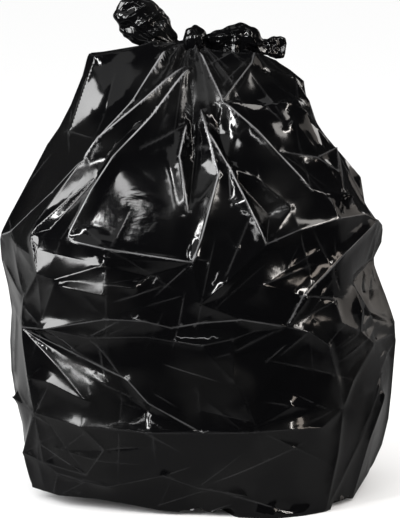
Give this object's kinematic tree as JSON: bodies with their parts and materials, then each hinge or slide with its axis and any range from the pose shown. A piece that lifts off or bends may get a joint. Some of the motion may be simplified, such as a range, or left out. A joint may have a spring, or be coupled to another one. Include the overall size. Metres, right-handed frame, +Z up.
{
  "type": "filled refuse sack, tied shut",
  "caption": "Filled black film refuse sack, standing on its base and tied shut at the top in a knot with two puffed loops, for holding household rubbish.",
  "frame": {"origin": "on the ground, at the middle of the sack's overall width and depth", "axes": "+Z up, towards the knot; X along the sack's width, +X to the right seen from the front; the front faces -Y"},
  "size_m": [0.51, 0.402, 0.6391],
  "materials": {
    "film": "glossy crumpled polyethylene film"
  },
  "bodies": {
    "root": {"tied_sack": "film"}
  },
  "joints": []
}
